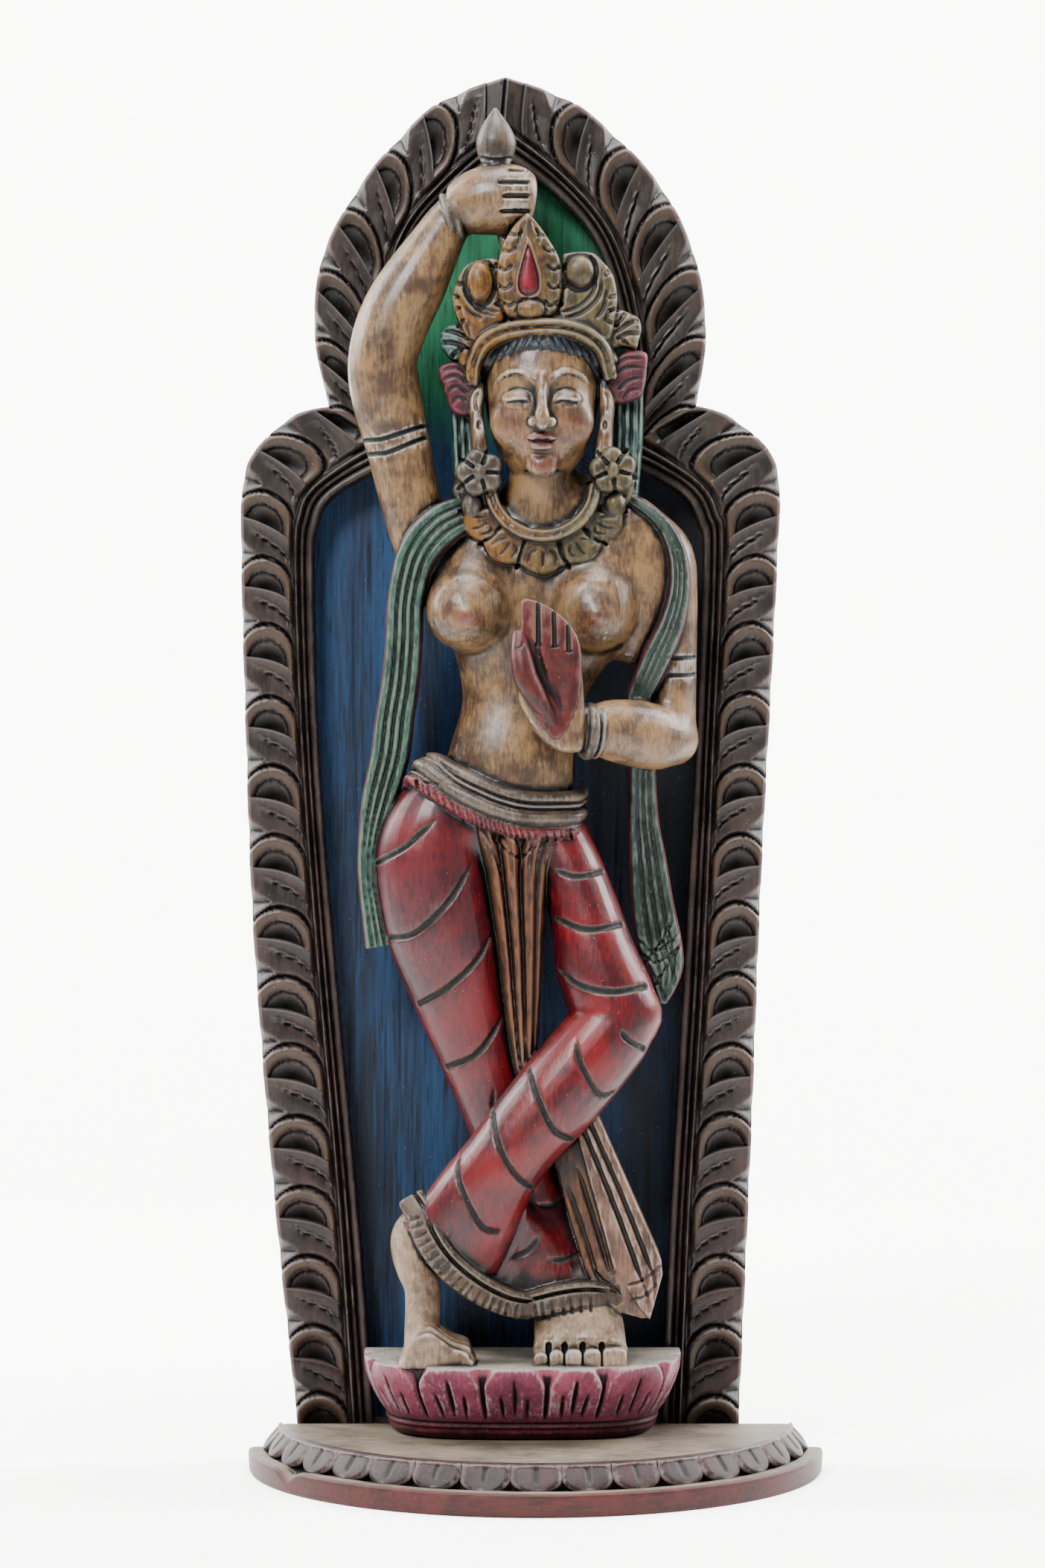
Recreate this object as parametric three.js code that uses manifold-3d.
// A painted wood carving: a standing figure on a lotus seat, in front of an arched surround
// with a leaf border and a thin painted back panel, all on a half-round board with petals.
// Millimetres, +Z up, front towards -Y, origin on the ground under the middle of the bounding box.

import * as THREE from "three";
import { mergeVertices } from "three/addons/utils/BufferGeometryUtils.js";
import Module from "manifold-3d";

const wasm = await Module();
wasm.setup();

// Driving dimensions
const OBJECT_HEIGHT = 610;
const FRAME_THICKNESS = 26;
const BASE_REACH = 118;
const PANEL_THICKNESS = 8;
const BASE_RADIUS = 126;
const BASE_TOP = 20;
const RIM_HEIGHT = 10;
const SEAT_TOP = 53.5;
const SEAT_REACH = 68;
const CLEARANCE = 0.3;

// Planes worked out from them
const OBJECT_DEPTH = BASE_REACH + FRAME_THICKNESS;
const FRAME_BACK = OBJECT_DEPTH / 2;
const FRAME_FRONT = FRAME_BACK - FRAME_THICKNESS;
const PANEL_FRONT = FRAME_BACK - PANEL_THICKNESS;
const REAR = FRAME_FRONT - CLEARANCE;

// Cutting blocks reach past everything
const FAR = 700;

const MERGE_DISTANCE = 1e-3;

// Numbers and splines
const mix = (a, b, f) => a + (b - a) * f;
const clamp01 = (f) => Math.min(1, Math.max(0, f));
const degrees = THREE.MathUtils.degToRad;

function splineValue(a, b, c, d, f) {
  const bend = 2 * a - 5 * b + 4 * c - d;
  const twist = 3 * b - a - 3 * c + d;
  return 0.5 * (2 * b + (c - a) * f + bend * f * f + twist * f * f * f);
}

// Rows of numbers, smoothly interpolated to a given count of rows.
function alongSpline(rows, count) {
  const last = rows.length - 1;
  return Array.from({ length: count }, (_, k) => {
    const place = (k / (count - 1)) * last;
    const i = Math.min(Math.floor(place), last - 1);
    const before = rows[Math.max(i - 1, 0)];
    const after = rows[Math.min(i + 2, last)];
    return rows[i].map((value, c) =>
      splineValue(before[c], value, rows[i + 1][c], after[c], place - i),
    );
  });
}

// A smooth line through (x, z) points, read by its fraction of length from 0 to 1.
function measuredLine(points) {
  const SAMPLES = 160;
  const dense = alongSpline(points, SAMPLES);
  const length = [0];
  for (let i = 1; i < SAMPLES; i++) {
    length.push(length[i - 1] + Math.hypot(dense[i][0] - dense[i - 1][0], dense[i][1] - dense[i - 1][1]));
  }
  return (fraction) => {
    const wanted = clamp01(fraction) * length[SAMPLES - 1];
    let i = 1;
    while (i < SAMPLES - 1 && length[i] < wanted) i++;
    const f = (wanted - length[i - 1]) / (length[i] - length[i - 1]);
    return [mix(dense[i - 1][0], dense[i][0], f), mix(dense[i - 1][1], dense[i][1], f)];
  };
}

// Solids
const point = (x, y, z) => new THREE.Vector3(x, y, z);

function solidFrom(geometry) {
  const loose = geometry.index ? geometry.toNonIndexed() : geometry;
  const bare = new THREE.BufferGeometry().setAttribute("position", loose.getAttribute("position"));
  const merged = mergeVertices(bare, MERGE_DISTANCE);
  const corners = [];
  const all = merged.index.array;
  for (let i = 0; i < all.length; i += 3) {
    const [a, b, c] = [all[i], all[i + 1], all[i + 2]];
    if (a !== b && b !== c && c !== a) corners.push(a, b, c);
  }
  const build = (list) =>
    new wasm.Manifold(
      new wasm.Mesh({
        numProp: 3,
        vertProperties: merged.attributes.position.array,
        triVerts: new Uint32Array(list),
      }),
    );
  const made = build(corners);
  return made.volume() > 0 ? made : build(corners.reverse());
}

const join = (solids) => solids.reduce((whole, solid) => whole.add(solid));

function meshOf(name, solid, color, roughness) {
  const data = solid.getMesh();
  const geometry = new THREE.BufferGeometry();
  geometry.setAttribute("position", new THREE.BufferAttribute(new Float32Array(data.vertProperties), 3));
  geometry.setIndex(new THREE.BufferAttribute(new Uint32Array(data.triVerts), 1));
  geometry.computeVertexNormals();
  const material = new THREE.MeshStandardMaterial({ color, roughness, metalness: 0, flatShading: true });
  const mesh = new THREE.Mesh(geometry, material);
  mesh.name = name;
  return mesh;
}

// The triangles that close a flat ring, wound the way the ring runs.
function capCorners(ring) {
  const normal = point(0, 0, 0);
  ring.forEach((p, i) => normal.add(p.clone().cross(ring[(i + 1) % ring.length])));
  normal.normalize();
  const helper = Math.abs(normal.z) < 0.8 ? point(0, 0, 1) : point(1, 0, 0);
  const across = helper.clone().cross(normal).normalize();
  const up = normal.clone().cross(across);
  const flat = ring.map((p) => new THREE.Vector2(p.dot(across), p.dot(up)));
  const faces = THREE.ShapeUtils.triangulateShape(flat, []);
  return faces.flatMap(([a, b, c]) => {
    const area = flat[b].clone().sub(flat[a]).cross(flat[c].clone().sub(flat[a]));
    return area > 0 ? [ring[a], ring[b], ring[c]] : [ring[a], ring[c], ring[b]];
  });
}

// A closed skin over rings that all have the same count of points.
function loft(rings) {
  const sides = rings[0].length;
  const corners = [];
  for (let r = 1; r < rings.length; r++) {
    for (let i = 0; i < sides; i++) {
      const next = (i + 1) % sides;
      const [a, b] = [rings[r - 1][i], rings[r - 1][next]];
      const [c, d] = [rings[r][next], rings[r][i]];
      corners.push(a, b, c, a, c, d);
    }
  }
  corners.push(...capCorners([...rings[0]].reverse()));
  corners.push(...capCorners(rings[rings.length - 1]));
  return solidFrom(new THREE.BufferGeometry().setFromPoints(corners));
}

// Sections of swept forms: u runs across, v runs from the front, -1, to the back, 1.
function oval(sides) {
  return Array.from({ length: sides }, (_, i) => {
    const angle = ((i + 0.5) / sides) * 2 * Math.PI;
    return [Math.cos(angle), Math.sin(angle)];
  });
}

const LIMB = oval(7);
const CORD = oval(4);
const FLAT_BAND = [[-1, -0.6], [-0.6, -1], [0.6, -1], [1, -0.6], [1, 1], [-1, 1]];
const TWO_ROLLS = [[-1, -0.6], [-0.5, -1], [0, -0.4], [0.5, -1], [1, -0.6], [1, 1], [-1, 1]];
const SCARF = [
  [-1, -0.6], [-0.42, -1], [-0.34, -0.2], [-0.26, -1], [0.26, -1], [0.34, -0.2], [0.42, -1],
  [1, -0.6], [1, 1], [-1, 1],
];

// A form swept through stations of [x, y, z, half width, half depth].
function sweep(stations, section, count) {
  const rows = alongSpline(stations, count);
  const centres = rows.map(([x, y, z]) => point(x, y, z));
  const headings = centres.map((_, k) => {
    const ahead = centres[Math.min(k + 1, count - 1)];
    return ahead.clone().sub(centres[Math.max(k - 1, 0)]).normalize();
  });
  const rings = rows.map(([, , , halfWidth, halfDepth], k) => {
    const heading = headings[k];
    const depth = point(0, 1, 0).addScaledVector(heading, -heading.y).normalize();
    const side = heading.clone().cross(depth);
    return section.map(([u, v]) =>
      centres[k].clone().addScaledVector(side, u * halfWidth).addScaledVector(depth, v * halfDepth),
    );
  });
  return loft(rings);
}

// An (x, z) outline cut through from one depth to another, with an optional chamfer.
function plate(outline, front, back, chamfer = 0) {
  const shape = new THREE.Shape(outline.map(([x, z]) => new THREE.Vector2(x, z)));
  const geometry = new THREE.ExtrudeGeometry(shape, {
    depth: back - front - chamfer,
    steps: 1,
    curveSegments: 1,
    bevelEnabled: chamfer > 0,
    bevelThickness: chamfer,
    bevelSize: chamfer,
    bevelOffset: -chamfer,
    bevelSegments: 1,
  });
  geometry.rotateX(degrees(90));
  geometry.translate(0, back, 0);
  return solidFrom(geometry);
}

function ball(x, y, z, halfWidth, halfDepth, halfHeight, around = 8, rows = 5) {
  const geometry = new THREE.SphereGeometry(1, around, rows);
  geometry.rotateX(degrees(90));
  geometry.scale(halfWidth, halfDepth, halfHeight);
  geometry.translate(x, y, z);
  return solidFrom(geometry);
}

function block(x, y, z, width, depth, height) {
  const geometry = new THREE.BoxGeometry(width, depth, height);
  geometry.translate(x, y, z);
  return solidFrom(geometry);
}

// What the base and the figure may not reach: the space of the surround and the room behind it.
const behindFigure = () => block(0, REAR + FAR, 0, 2 * FAR, 2 * FAR, 2 * FAR);

// The surround

// Its lines as (x, z) points: each side from the ground to the notch at the shoulder,
// and each half of the arch from that notch to the apex.
const APEX = [-11.8, OBJECT_HEIGHT];
const MOULDING_APEX = [-13.5, 590];
const OPENING_APEX = [-12.5, 575];
const RIGHT_LINES = {
  sideOuter: [
    [89.7, 0], [95.8, 138], [100.3, 255], [104.9, 343], [107.8, 402], [108.5, 431], [103.9, 446],
    [88, 460.5], [72, 465.9],
  ],
  sideMoulding: [
    [65.5, 0], [69.8, 110], [76.3, 218], [80.5, 315], [84.6, 403], [82.2, 419], [76, 431],
    [60, 443], [45.6, 451],
  ],
  sideOpening: [
    [55.5, 0], [60.4, 105], [66.4, 214], [71.4, 305], [75.1, 397], [73, 414.5], [66.5, 426.5],
    [52, 435.5], [36.5, 441],
  ],
  archOuter: [[72, 465.9], [76.3, 497], [72.3, 528.5], [61, 555], [45.3, 575.5], [18.2, 598.9], APEX],
  archMoulding: [[45.6, 451], [49.6, 482], [45.5, 515], [34, 545], [13, 569], MOULDING_APEX],
  archOpening: [[36.5, 441], [40.2, 482], [36.5, 514], [26, 541], [7, 561.5], OPENING_APEX],
};
const LEFT_LINES = {
  sideOuter: [
    [-101, 0], [-113.2, 118], [-122.5, 236], [-126, 330], [-127.8, 402], [-127, 432],
    [-121.7, 446], [-106, 461], [-89.4, 465.6],
  ],
  sideMoulding: [
    [-78.6, 0], [-86, 115], [-95, 218], [-102.2, 318], [-105.2, 398], [-103.4, 419], [-98, 430],
    [-82, 442.5], [-67, 451],
  ],
  sideOpening: [
    [-68, 0], [-76.3, 109], [-86, 214], [-93.6, 309], [-96.3, 393], [-94, 415], [-88, 426],
    [-73, 435.3], [-58, 441],
  ],
  archOuter: [
    [-89.4, 465.6], [-95.6, 497], [-93, 528.5], [-82, 552.5], [-65.6, 575.5], [-41.1, 598.9],
  ],
  archMoulding: [[-67, 451], [-71.5, 482], [-67.5, 515], [-57, 545], [-39.5, 566], MOULDING_APEX],
  archOpening: [[-58, 441], [-62, 482], [-58.5, 514], [-49, 541], [-31.5, 560.5], OPENING_APEX],
};

const linesOf = (set) =>
  Object.fromEntries(Object.entries(set).map(([name, points]) => [name, measuredLine(points)]));
const RIGHT = linesOf(RIGHT_LINES);
const LEFT = linesOf(LEFT_LINES);

// A place on the surround: leg is "side" or "arch", along runs up it from 0 to 1,
// and across is 0 at the opening's edge, 1 at the moulding's outer line and 2 at the outer outline.
function placeOnFrame(half, leg, along, across) {
  const [opening, moulding] = [half[leg + "Opening"], half[leg + "Moulding"]];
  const outer = half[leg + "Outer"];
  const [from, to] = across < 1 ? [opening(along), moulding(along)] : [moulding(along), outer(along)];
  const f = across < 1 ? across : across - 1;
  return [mix(from[0], to[0], f), mix(from[1], to[1], f)];
}

// Each leaf, going down from its sharp ridge: share of the leaf, then the depth of the cut
// at the moulding, part of the way across and at the outer edge.
const LEAF_CUTS = [
  [0.94, [7.5, 7.5, 6]],
  [0.7, [6, 3.8, 1.8]],
  [0.44, [5, 3.4, 8]],
  [0, [3, 0.2, 0.8]],
];
const LEAF_LINES = [0, 0.55, 1];
const SIDE_LENGTH = 487;
const ARCH_LENGTH = 187;
const LEAF_PITCH = 30.8;
const FIRST_RIDGE = 17.9;
const ARCH_PITCH = 31.2;
const FIRST_ARCH_RIDGE = 21.5;
const RIDGE_RISE = 10;
const TOP_LEAF_CUT = [3, 1, 1];

// Stations up one leg: each is its share of the leg and its cuts.
function leafStations(firstRidge, pitch, length) {
  const stations = [];
  let below = firstRidge - pitch;
  for (let ridge = firstRidge; ridge < length - 1; ridge += pitch) {
    LEAF_CUTS.forEach(([share, cuts]) => {
      const along = mix(ridge, below, share) / length;
      if (along > 0) stations.push([along, cuts]);
    });
    below = ridge;
  }
  return stations;
}

const SIDE_LEAVES = [
  [0, LEAF_CUTS[1][1]],
  ...leafStations(FIRST_RIDGE, LEAF_PITCH, SIDE_LENGTH),
  [0.95, LEAF_CUTS[1][1]],
  [1, LEAF_CUTS[3][1]],
];
const ARCH_LEAVES = leafStations(FIRST_ARCH_RIDGE, ARCH_PITCH, ARCH_LENGTH);

// Right side, right arch, apex, left arch and left side, as one run of stations.
function aroundFrame(sideStations, archStations, apexStation) {
  const runOf = (half) => [
    ...sideStations.map(([along, extra]) => [half, "side", along, extra]),
    ...archStations.map(([along, extra]) => [half, "arch", along, extra]),
  ];
  return [...runOf(RIGHT), [RIGHT, "arch", 1, apexStation], ...runOf(LEFT).reverse()];
}

// The ridges rise towards the outer edge, except where a leg begins or ends.
function ridgeDrop(leg, along, across) {
  const length = leg === "side" ? SIDE_LENGTH : ARCH_LENGTH;
  const fadeNear = (share) => clamp01((share * length) / (2 * RIDGE_RISE));
  const fade = fadeNear(along) * fadeNear(1 - along);
  return (RIDGE_RISE * fade * (1 - Math.sin((across * Math.PI) / 2))) / length;
}

function makeLeafBorder() {
  const BEHIND_MOULDING = 0.93;
  const rings = aroundFrame(SIDE_LEAVES, ARCH_LEAVES, TOP_LEAF_CUT).map(([half, leg, along, cuts]) => {
    const ring = LEAF_LINES.map((across, i) => {
      const [x, z] = placeOnFrame(half, leg, along - ridgeDrop(leg, along, across), 1 + across);
      return point(x, FRAME_FRONT + cuts[i], z);
    });
    const [outerX, outerZ] = placeOnFrame(half, leg, along, 2);
    const [innerX, innerZ] = placeOnFrame(half, leg, along, BEHIND_MOULDING);
    ring.push(point(outerX, FRAME_BACK, outerZ), point(innerX, FRAME_BACK, innerZ));
    return ring;
  });
  return loft(rings);
}

// Moulding: share of the way across, then depth of the cut, from the opening outwards.
const BAND_CUT = 1;
const MOULDING_CUTS = [
  [0, BAND_CUT],
  [0.34, BAND_CUT],
  [0.42, 3],
  [0.58, 0],
  [0.7, 2],
  [0.84, 0.2],
  [1.03, 3.4],
];
const REBATE = 0.5;
const SIDE_STEPS = [0, 0.3, 0.58, 0.8, 0.86, 0.89, 0.92, 0.96, 1];
const ARCH_STEPS = [0.16, 0.33, 0.5, 0.68, 0.85];

function frameRun() {
  const withoutCuts = (steps) => steps.map((along) => [along, null]);
  return aroundFrame(withoutCuts(SIDE_STEPS), withoutCuts(ARCH_STEPS), null);
}

function makeMoulding() {
  const rings = frameRun().map(([half, leg, along]) => {
    const at = (across, y) => {
      const [x, z] = placeOnFrame(half, leg, along, across);
      return point(x, y, z);
    };
    const front = MOULDING_CUTS.map(([across, cut]) => at(across, FRAME_FRONT + cut));
    const outer = MOULDING_CUTS[MOULDING_CUTS.length - 1][0];
    return [
      ...front,
      at(outer, FRAME_BACK),
      at(REBATE, FRAME_BACK),
      at(REBATE, PANEL_FRONT),
      at(0, PANEL_FRONT),
    ];
  });
  return loft(rings);
}

// The bar that closes the surround behind the base, with the rebate carried along it.
const BAR_LEFT = -75;
const BAR_RIGHT = 62.5;
const REBATE_FLOOR = BASE_TOP - 5;

function makeBottomBar() {
  const profile = [
    [FRAME_FRONT, 0],
    [FRAME_BACK, 0],
    [FRAME_BACK, REBATE_FLOOR],
    [PANEL_FRONT, REBATE_FLOOR],
    [PANEL_FRONT, BASE_TOP],
    [FRAME_FRONT, BASE_TOP],
  ];
  return loft([BAR_LEFT, BAR_RIGHT].map((x) => profile.map(([y, z]) => point(x, y, z))));
}

function makePanel() {
  const BELOW_REBATE_EDGE = 0.045;
  const outline = frameRun()
    .map(([half, leg, along]) => placeOnFrame(half, leg, along, REBATE - BELOW_REBATE_EDGE))
    .map(([x, z]) => [x, Math.max(z, REBATE_FLOOR + CLEARANCE)]);
  return plate(outline, PANEL_FRONT + CLEARANCE, FRAME_BACK);
}

// The base
const BASE_CENTRE_X = 1.4;
const BASE_CENTRE_Y = FRAME_FRONT + BASE_RADIUS - BASE_REACH;
const TOP_RADIUS = 113;
const PETAL_COUNT = 17;
const PETAL_STEP = degrees(10.6);
const PETAL_SLOPE = degrees(47);
const PETAL_THICKNESS = 6;
const PETAL_OUTLINE = [[0, 9.8], [8.4, 9.6], [12.8, 4]];
const TOP_BOARD_BOTTOM = 2;
const CHIP_PLACE = [-114, -21, RIM_HEIGHT];
const CHIP_SIZE = [11, 13, 5];

// A little over half a disc; its rim runs round in one step a petal.
function baseDisc(radius, bottom, top) {
  const reach = (PETAL_COUNT * PETAL_STEP) / 2;
  const corner = radius / Math.cos(PETAL_STEP / 2);
  const rim = Array.from({ length: PETAL_COUNT + 1 }, (_, i) => {
    const angle = mix(-reach, reach, i / PETAL_COUNT);
    return [BASE_CENTRE_X + corner * Math.sin(angle), BASE_CENTRE_Y - corner * Math.cos(angle)];
  });
  return loft([bottom, top].map((z) => rim.map(([x, y]) => point(x, y, z))));
}

// A tongue petal that slopes out and down from the top edge, at its angle round the board.
function basePetal(angle) {
  const SKIN = 0.4;
  const TUCKED_IN = 1;
  const outline = [...PETAL_OUTLINE, ...PETAL_OUTLINE.map(([u, v]) => [u, -v]).reverse()];
  const ringAt = (sunk) =>
    outline.map(([u, v]) => {
      const out = TOP_RADIUS - TUCKED_IN + u * Math.cos(PETAL_SLOPE) - sunk * Math.sin(PETAL_SLOPE);
      const z = BASE_TOP - u * Math.sin(PETAL_SLOPE) - sunk * Math.cos(PETAL_SLOPE);
      const x = BASE_CENTRE_X + out * Math.sin(angle) + v * Math.cos(angle);
      const y = BASE_CENTRE_Y - out * Math.cos(angle) + v * Math.sin(angle);
      return point(x, y, z);
    });
  return loft([ringAt(SKIN), ringAt(PETAL_THICKNESS)]);
}

function makeBase() {
  const middle = (PETAL_COUNT - 1) / 2;
  const petals = Array.from({ length: PETAL_COUNT }, (_, i) => basePetal((i - middle) * PETAL_STEP));
  const chip = block(...CHIP_PLACE, ...CHIP_SIZE);
  const rim = baseDisc(BASE_RADIUS, 0, RIM_HEIGHT);
  const top = baseDisc(TOP_RADIUS, TOP_BOARD_BOTTOM, BASE_TOP);
  const board = join([rim, top, ...petals]);
  return board.subtract(chip).subtract(behindFigure());
}

// The lotus seat: half an oval in plan, flat at the back, with fluted petals.
const SEAT_BOTTOM = BASE_TOP + CLEARANCE;
const SEAT_CENTRE_X = -4.4;
const SEAT_LEVELS = [
  [SEAT_BOTTOM, 57.5, 46.5, 0],
  [27, 59.5, 50, 0],
  [31, 60.5, 52, 0.4],
  [42, 67, 63, 1],
  [SEAT_TOP, 69, SEAT_REACH, 0.3],
];
const SEAT_PETALS = 7;
const POINTS_A_PETAL = 3;
const PETAL_DENT = 1.8;
const SEAT_SQUARENESS = 0.62;

function makeSeat() {
  const count = SEAT_PETALS * POINTS_A_PETAL;
  const rings = SEAT_LEVELS.map(([z, halfWidth, reach, fluting]) =>
    Array.from({ length: count + 1 }, (_, i) => {
      const angle = (i / count) * Math.PI;
      const dent = i % POINTS_A_PETAL === 0 && i > 0 && i < count ? PETAL_DENT * fluting : 0;
      const cosine = Math.cos(angle);
      const x = (halfWidth - dent) * Math.sign(cosine) * Math.abs(cosine) ** SEAT_SQUARENESS;
      const y = (reach - CLEARANCE - dent) * Math.sin(angle) ** SEAT_SQUARENESS;
      return point(SEAT_CENTRE_X + x, REAR - y, z);
    }),
  );
  return loft(rings);
}

// The figure, from stations of [x, y, z, half width, half depth]

function makeBody() {
  const torso = sweep(
    [
      [-14, 23, 286, 33, 19], [-11, 23, 300, 29, 18], [-9, 24, 316, 27, 16], [-5, 25, 333, 25.5, 15],
      [-3, 25, 350, 31, 16], [-1, 24, 369, 40, 18], [1, 24, 388, 45, 18.5], [6, 25, 403, 49, 16.5],
      [6, 26, 415, 37, 13], [5, 26, 422, 19, 11],
    ],
    oval(9),
    8,
  );
  const neck = sweep([[4, 23, 412, 15.5, 14], [4, 18, 438, 14, 14]], oval(6), 2);
  return [torso, neck, ball(-28.5, 9, 373, 17.5, 16, 17.5), ball(27, 9, 372.5, 16.5, 16, 16.5)];
}

function makeRaisedArm() {
  const arm = sweep(
    [
      [-46, 24, 395, 12, 14], [-52, 23, 420, 13.2, 14], [-57.5, 22, 444, 14, 14],
      [-62.5, 20, 465, 15.4, 15],
      [-64.5, 18, 482, 15, 15], [-59, 17, 500, 15.5, 14.5], [-51, 17, 516, 14.5, 13.5],
      [-42, 18, 532, 11.5, 11.5],
      [-35, 19, 542, 9.8, 10],
    ],
    LIMB,
    8,
  );
  const bracelet = sweep([[-38.2, 18.5, 537.5, 12.4, 12.4], [-33.2, 19, 545.5, 12.4, 12.4]], LIMB, 2);
  const hand = sweep([
    [-33, 18, 547, 10, 10], [-22, 17, 551, 14, 12], [-10, 16, 552, 14.8, 12.5],
    [-2, 17, 552.5, 12.5, 9],
  ], LIMB, 4);
  const FINGER_COUNT = 4;
  const FINGER_PITCH = 7.2;
  const FIST_TOP = 566.4;
  const fingerTips = Array.from({ length: FINGER_COUNT }, (_, i) => {
    const top = FIST_TOP - i * FINGER_PITCH;
    return [
      [-7, top], [-2.4, top - 0.9], [-2.4, top - FINGER_PITCH + 2.3],
      [-7, top - FINGER_PITCH + 1.4],
    ];
  }).flat();
  const knuckles = [[-16, FIST_TOP - FINGER_COUNT * FINGER_PITCH + 2], [-17, FIST_TOP - 2]];
  const fingers = plate([...fingerTips, ...knuckles], 2.5, 14);
  const bud = sweep([
    [-15.5, 17, 562, 5, 5], [-15.7, 16, 574, 8.4, 7], [-15.9, 16, 583, 5.4, 5],
    [-16, 16.5, 591, 0.8, 0.8],
  ], oval(6), 5);
  return [arm, bracelet, hand, fingers, bud];
}

function makeLoweredArm() {
  const upperArm = sweep(
    [
      [46, 25, 406, 15, 13], [55, 25, 403, 14.5, 14], [61, 25, 384, 11, 13],
      [61.2, 24.5, 350, 9.8, 12.5], [60, 23, 330, 10.6, 13], [57.5, 21, 316, 10, 11],
    ],
    LIMB,
    6,
  );
  const forearm = sweep([
    [63, 22, 320, 11, 10], [58, 18, 320.5, 14, 13], [42, 7, 322, 14.6, 12.5],
    [25, -4, 323, 10.5, 9], [12, -9, 325, 9, 5],
  ], LIMB, 5);
  const bracelet = sweep([[28.8, -1, 322, 12.8, 11.8], [22, -5, 321.4, 11.8, 10.8]], LIMB, 2);
  const palm = [
    [-7.7, 362], [-4.6, 377.2], [2, 377.6], [10.5, 373.5], [17.5, 364.5], [20.6, 348], [20.6, 328],
    [16, 315.5], [9, 313.8], [1, 319], [-6, 331],
  ];
  const hand = plate(palm, -15, -5);
  const thumb = sweep([
    [-5.4, -15, 361, 2.2, 2.4], [-3, -15.5, 346, 3.6, 3], [9, -13.5, 329, 2, 1.6],
  ], CORD, 3);
  return [upperArm, forearm, bracelet, hand, thumb];
}

function makeLegs() {
  const standing = sweep(
    [
      [-38, 24, 296, 14, 14], [-43, 23, 276, 23.5, 20], [-41, 23, 252, 25.5, 20.5],
      [-37, 24, 228, 23.5, 19],
      [-30, 25, 204, 19.5, 17], [-21, 26, 178, 17, 15], [-12, 27, 152, 15, 14], [-2, 27, 128, 15.5, 13],
      [7, 26, 105, 16.5, 14], [11, 24, 82, 19, 16],
    ],
    oval(9),
    8,
  );
  const thigh = sweep(
    [
      [2, 22, 284, 18, 16], [15, 19, 266, 14.5, 17], [23, 16, 242, 15.5, 18],
      [28, 11, 221, 18.5, 18], [36, 7, 199, 19, 16],
    ],
    LIMB,
    5,
  );
  const shin = sweep(
    [
      [38, 6, 199, 15, 14], [31, 5, 191, 18.5, 16], [12, 2, 169, 19, 17], [-5, 0, 149, 17.5, 16.5],
      [-22, 0, 129, 17, 16], [-37, 2, 111.5, 18.5, 15],
    ],
    LIMB,
    6,
  );
  const knee = ball(39, 6, 201, 16.5, 16, 14);
  const hips = sweep([[-40, 24, 282, 17, 17], [8, 23, 277, 15, 17]], LIMB, 2);
  return [standing, thigh, shin, knee, hips];
}

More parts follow.
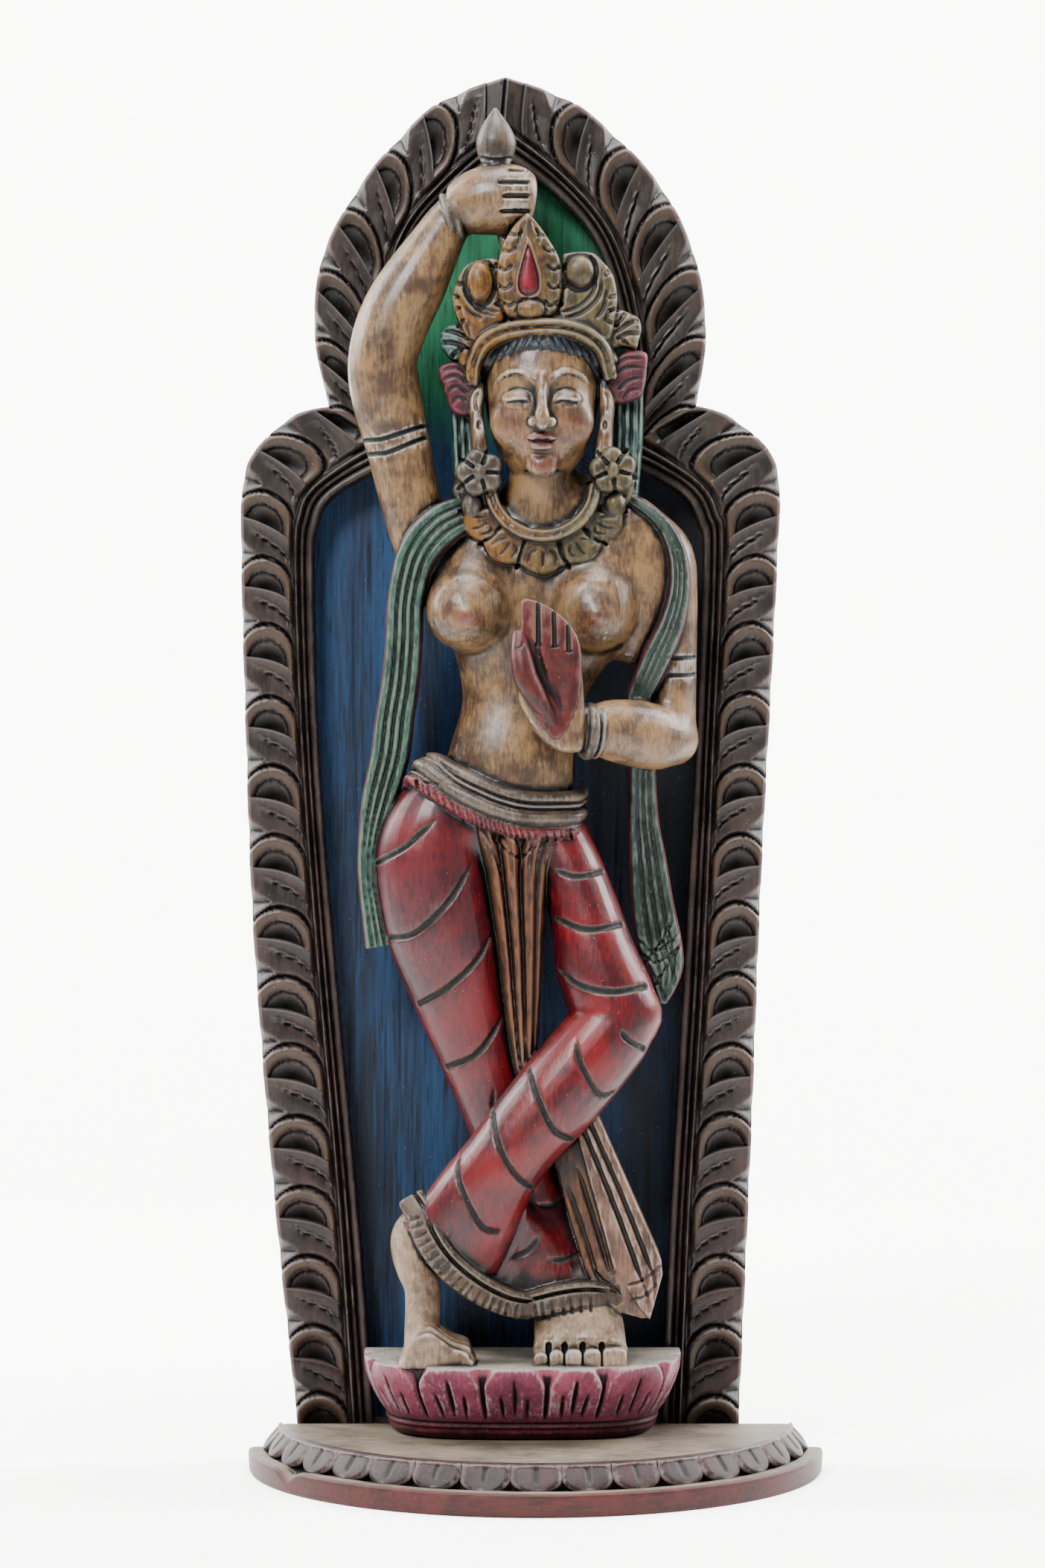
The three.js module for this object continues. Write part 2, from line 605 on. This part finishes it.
// Cloth: scarf, belt, apron, trouser hem and sash
function makeCloth() {
  const scarf = sweep(
    [
      [-27, 14, 417.5, 6, 5], [-39, 10, 411, 8.3, 6], [-46, 10, 403.5, 8, 7],
      [-51.5, 12, 394, 7.8, 8], [-55, 16, 377, 7.3, 8],
      [-56, 19, 349, 7.6, 8], [-59, 21, 330, 7.8, 8], [-61.5, 22, 312, 8, 8],
      [-66, 23, 294, 7.3, 8], [-70, 24, 275, 5, 8],
      [-70.3, 24, 255, 4.4, 8], [-67.5, 25, 238, 5.4, 7], [-66, 25, 230, 5.8, 7],
    ],
    SCARF,
    9,
  );
  const overShoulder = sweep(
    [
      [40, 18, 421.5, 3.4, 8], [50, 15, 416.5, 3.8, 9], [58, 14, 407, 4, 9],
      [62.6, 14, 396, 3.8, 9], [64, 15, 384, 3.8, 9],
      [62, 16, 371, 4, 9], [56, 18, 357, 5, 8], [50, 22, 345, 6, 7], [46.5, 26, 332, 6, 6],
    ],
    FLAT_BAND,
    7,
  );
  const hangingEnd = sweep(
    [
      [47, 22, 322, 5.2, 6], [47.6, 24, 303, 5.5, 6], [48.4, 26, 287, 6, 5.5],
      [50, 27, 268, 7.4, 5.5], [52.5, 27, 245, 8.8, 5.5], [56, 27, 226, 8.8, 5.5],
      [56.6, 27, 206, 1.6, 5],
    ],
    FLAT_BAND,
    6,
  );
  // Two rolls, a broad band and the fringe under it, as one girdle.
  const girdleSection = [
    [-1, -0.5], [-0.74, -0.85], [-0.6, -0.4], [-0.34, -0.8], [-0.2, -0.5], [0.36, -1],
    [0.56, -0.6], [1, -0.85], [0, 1],
  ];
  const girdle = sweep(
    [
      [-46.5, 36, 304, 10.5, 5], [-43.5, 18, 301, 11.5, 7], [-30, 7, 292.5, 12, 7],
      [-9, 2, 287.6, 12, 7], [9, 6, 288, 11.5, 7], [17.5, 18, 290, 11, 7], [18.5, 36, 290.5, 10.5, 5],
    ],
    girdleSection,
    7,
  );
  const apronPleats = [
    [-1, 0.2], [-0.6, -0.7], [-0.4, -0.1], [-0.1, -1], [0.15, -0.3], [0.5, -0.9], [1, 0.2], [1, 1],
    [-1, 1],
  ];
  const apron = sweep(
    [
      [-6, 8, 284, 22, 9], [-5.5, 7, 270, 16.5, 10], [-6, 8, 250, 12.5, 10], [-5, 8, 228, 10, 10],
      [-4, 8, 204, 7.6, 10], [-3.5, 8, 184, 5.4, 9],
    ],
    apronPleats,
    5,
  );
  const hemFill = plate([
    [-53, 119], [-47.5, 105], [-36.5, 92], [-23, 81], [-1.5, 73], [12, 76], [28, 78], [31, 92],
    [12, 116], [-34, 128],
  ], 6, 36);
  const hemBand = sweep(
    [
      [-51, 8, 117, 4.4, 8], [-44, 3, 103.5, 4.6, 8], [-33, 0, 91, 4.6, 8], [-17, 2, 80.5, 4.6, 8],
      [-1.5, 5, 76, 4.4, 8], [13, 4, 79, 4.2, 8], [30, 8, 80.5, 4.2, 8],
    ],
    FLAT_BAND,
    7,
  );
  const sashFolds = sweep([
    [14, 20, 152, 8, 12], [25, 16, 115, 11, 12], [36, 14, 84, 11.5, 13],
  ], TWO_ROLLS, 3);
  const sash = sweep([
    [22, 16, 158, 6.5, 10], [32, 13, 135, 7.5, 11], [41, 11, 112, 9, 12], [48.2, 10, 92, 8.6, 12],
    [50.4, 10, 76, 2, 11],
  ], SCARF, 4);
  return [scarf, overShoulder, hangingEnd, girdle, apron, hemFill, hemBand, sashFolds, sash];
}

// The feet: one on its toes at the left, one flat and pointing forwards.
function makeFeet() {
  const IN_SEAT = SEAT_TOP - 1.5;
  const ankle = sweep(
    [
      [-47, 10, 112, 9, 9], [-52, 8, 100, 9.4, 9], [-49.5, 4, 84, 8.4, 8.5],
      [-47, -1, 70, 7.8, 8.5], [-46.5, -6, 58, 8.5, 10],
    ],
    oval(6),
    5,
  );
  const toeStep = plate(
    [
      [-54.5, IN_SEAT], [-55, 60], [-51, 66], [-40, 66.5], [-34, 63.5], [-27.6, 62], [-26, 59],
      [-26.6, IN_SEAT],
    ],
    -18.5,
    2,
  );
  const FOOT_X = 20.2;
  const footLevels = [[34, 15, 74], [14, 17, 83], [-3, 19.8, 69.5], [-8, 20, 64.5]];
  const foot = loft(
    footLevels.map(([y, halfWidth, top]) => [
      point(FOOT_X - halfWidth, y, IN_SEAT),
      point(FOOT_X - halfWidth * 0.94, y, mix(IN_SEAT, top, 0.7)),
      point(FOOT_X - halfWidth * 0.6, y, top),
      point(FOOT_X + halfWidth * 0.6, y, top),
      point(FOOT_X + halfWidth * 0.94, y, mix(IN_SEAT, top, 0.7)),
      point(FOOT_X + halfWidth, y, IN_SEAT),
    ]),
  );
  const TOE_EDGES = [0.4, 6.8, 13.4, 21.2, 29.2, 39.8];
  const TOE_GAP = 0.7;
  const TOE_TOP = 59.4;
  const TOE_Y = -9.4;
  const TOE_LENGTH = 10.8;
  const toeHeight = TOE_TOP - IN_SEAT;
  const toes = TOE_EDGES.slice(1).map((right, i) => {
    const left = TOE_EDGES[i] + TOE_GAP;
    return block((left + right) / 2, TOE_Y, IN_SEAT + toeHeight / 2, right - left, TOE_LENGTH, toeHeight);
  });
  return [ankle, toeStep, foot, ...toes];
}

// The head, with a plain face on the usual proportions: eyes half way up the head,
// nose and mouth dividing the lower half.
const HEAD_X = 4;
const EYE_OUT = 10.4;

function makeHead() {
  const head = sweep(
    [
      [HEAD_X, 13, 428, 8, 8], [HEAD_X, 13, 433, 14, 14.5], [HEAD_X, 14, 442, 19.5, 19],
      [HEAD_X, 15, 453, 23.5, 22],
      [HEAD_X, 16, 466, 25.5, 24], [HEAD_X, 17, 480, 25.5, 24], [HEAD_X, 18, 492, 22.5, 22],
      [HEAD_X, 19, 500, 16, 18],
    ],
    oval(11),
    7,
  );
  const noseLevels = [[469, -8.2, 1.6], [453.5, -14.2, 4.2], [451.2, -9, 3.8]];
  const nose = loft(
    noseLevels.map(([z, front, half]) => [
      point(HEAD_X - half, 0, z),
      point(HEAD_X - half, -7, z),
      point(HEAD_X, front, z),
      point(HEAD_X + half, -7, z),
      point(HEAD_X + half, 0, z),
    ]),
  );
  const eyes = [-1, 1].map((side) => ball(HEAD_X + side * EYE_OUT, -4.2, 463, 5.6, 4, 2.8, 6, 3));
  const lips = ball(HEAD_X, -6.6, 445.4, 6.6, 3.6, 2.7, 6, 3);
  const ears = [-1, 1].map((side) =>
    sweep([
      [HEAD_X + side * 27.4, 12, 470, 3, 5], [HEAD_X + side * 28, 11, 458, 3, 5],
      [HEAD_X + side * 26.4, 9, 441, 3.4, 5],
    ], CORD, 3),
  );
  return [head, nose, ...eyes, lips, ...ears];
}

const CROWN_LEAF = [
  [-2.6, 543.6], [3.5, 537], [9.5, 527], [12.9, 515.5], [12, 504], [7, 499], [-9, 499],
  [-14.2, 504.5], [-15.2, 515], [-12.6, 527], [-8, 537],
];
const LEFT_SCROLL = [
  [-14, 524], [-22.5, 524.6], [-29, 520.5], [-33.4, 511.5], [-34.2, 503], [-31, 495.5], [-25, 487],
  [-10, 498],
];
const RIGHT_SCROLL = [
  [12.5, 524.5], [18, 527.4], [25.5, 527.4], [31, 521.5], [35.4, 513], [35.9, 503.5], [31, 487],
  [10, 498],
];
const LEFT_ROSETTE = [[-26, 482], [-33.5, 482], [-38.8, 488.5], [-39.4, 494.5], [-31, 497.5], [-25, 492]];
const RIGHT_ROSETTE = [[31, 488], [36, 485.5], [42.5, 486.5], [46.8, 498], [44.5, 502], [33, 501]];
const LEFT_FAN = [
  [-23, 466], [-26, 477.5], [-33.5, 481.6], [-40.2, 478.6], [-38.6, 468.5], [-35, 460],
  [-25.5, 458.5],
];
const RIGHT_FAN = [[31, 472], [35.5, 482.5], [48.6, 485.2], [48.2, 472], [46, 467.6], [37, 462.6]];
const GEM = [[-2, 533.4], [2.6, 520.5], [4.2, 512], [1.6, 506.6], [-5, 506.6], [-7.4, 512], [-5.4, 521]];

function makeCrown() {
  const bandStations = Array.from({ length: 7 }, (_, i) => {
    const angle = degrees(mix(-8, 188, i / 6));
    const lean = 6 * (1 - Math.sin(angle));
    return [HEAD_X + 0.3 + 27.4 * Math.cos(angle), 3 + lean, 471.5 + 25.2 * Math.sin(angle), 3, 9];
  });
  const band = sweep(bandStations, TWO_ROLLS, 8);
  const dome = ball(HEAD_X, 21, 494, 25, 20, 20, 8, 4);
  const ornaments = [
    plate(CROWN_LEAF, -2, 14),
    plate(GEM, -4, 4),
    ball(-0.8, -2.5, 501.6, 6, 4.5, 4.4, 6, 3),
    plate(LEFT_SCROLL, 3, 20),
    plate(RIGHT_SCROLL, 3, 20),
    ball(-22.7, 4, 514.3, 5.6, 4.5, 8, 6, 4),
    ball(20.2, 4, 518.6, 5.8, 4.5, 6.6, 6, 4),
    plate(LEFT_ROSETTE, 10, 24),
    plate(RIGHT_ROSETTE, 10, 24),
    plate(LEFT_FAN, 12, 24),
    plate(RIGHT_FAN, 12, 24),
  ];
  const falls = [
    sweep([[-29.5, 26, 464, 6.5, 7], [-28, 20, 418, 6, 7]], TWO_ROLLS, 2),
    sweep([[41.5, 26, 468, 6.2, 7], [40, 22, 418, 5.4, 7]], TWO_ROLLS, 2),
  ];
  return [band, dome, ...ornaments, ...falls];
}

// Jewellery: flower earrings, their drops and the petal collar
function flower(x, y, z, radius) {
  const LOBES = 5;
  const POINTS = LOBES * 2;
  const outline = Array.from({ length: POINTS }, (_, i) => {
    const angle = (i / POINTS) * 2 * Math.PI;
    const reach = radius * (i % 2 === 0 ? 1 : 0.84);
    return [x + reach * Math.cos(angle), z + reach * Math.sin(angle)];
  });
  return [plate(outline, y, y + 12), ball(x, y, z, radius * 0.4, 2.4, radius * 0.4, 5, 3)];
}

function makeJewellery() {
  const earrings = [...flower(-22.6, -1, 433.2, 9.6), ...flower(34, 0, 433.7, 9.8)];
  const drops = [ball(-25.5, 6, 416, 4.6, 4.5, 8.4, 5, 3), ball(34.6, 7, 416, 5, 4.5, 8, 5, 3)];
  const PETALS = 6;
  const COLLAR_Z = 427;
  const onCollar = (share, reach) => {
    const angle = degrees(mix(-155, -25, share));
    return [HEAD_X + reach * Math.cos(angle), COLLAR_Z + reach * Math.sin(angle)];
  };
  const scallops = Array.from({ length: PETALS }, (_, i) => [
    onCollar((i + 0.04) / PETALS, 31),
    onCollar((i + 0.3) / PETALS, 35.6),
    onCollar((i + 0.7) / PETALS, 35.6),
  ]).flat();
  const neckline = [1, 0.75, 0.5, 0.25, 0].map((share) => onCollar(share, 21.5));
  return [...earrings, ...drops, plate([...scallops, ...neckline], 5.5, 20)];
}

function makeFigure() {
  const forms = [
    makeSeat(),
    ...makeBody(),
    ...makeRaisedArm(),
    ...makeLoweredArm(),
    ...makeLegs(),
    ...makeCloth(),
    ...makeFeet(),
    ...makeHead(),
    ...makeCrown(),
    ...makeJewellery(),
  ];
  return join(forms).subtract(behindFigure());
}

// Assembly
const carving = new THREE.Group();
carving.add(
  meshOf("base_board", makeBase(), "#7d6a66", 0.7),
  meshOf("leaf_frame", join([makeMoulding(), makeLeafBorder(), makeBottomBar()]), "#43372f", 0.62),
  meshOf("back_panel", makePanel(), "#1f4a70", 0.75),
  meshOf("figure_on_lotus", makeFigure(), "#86553f", 0.6),
);

export default carving;
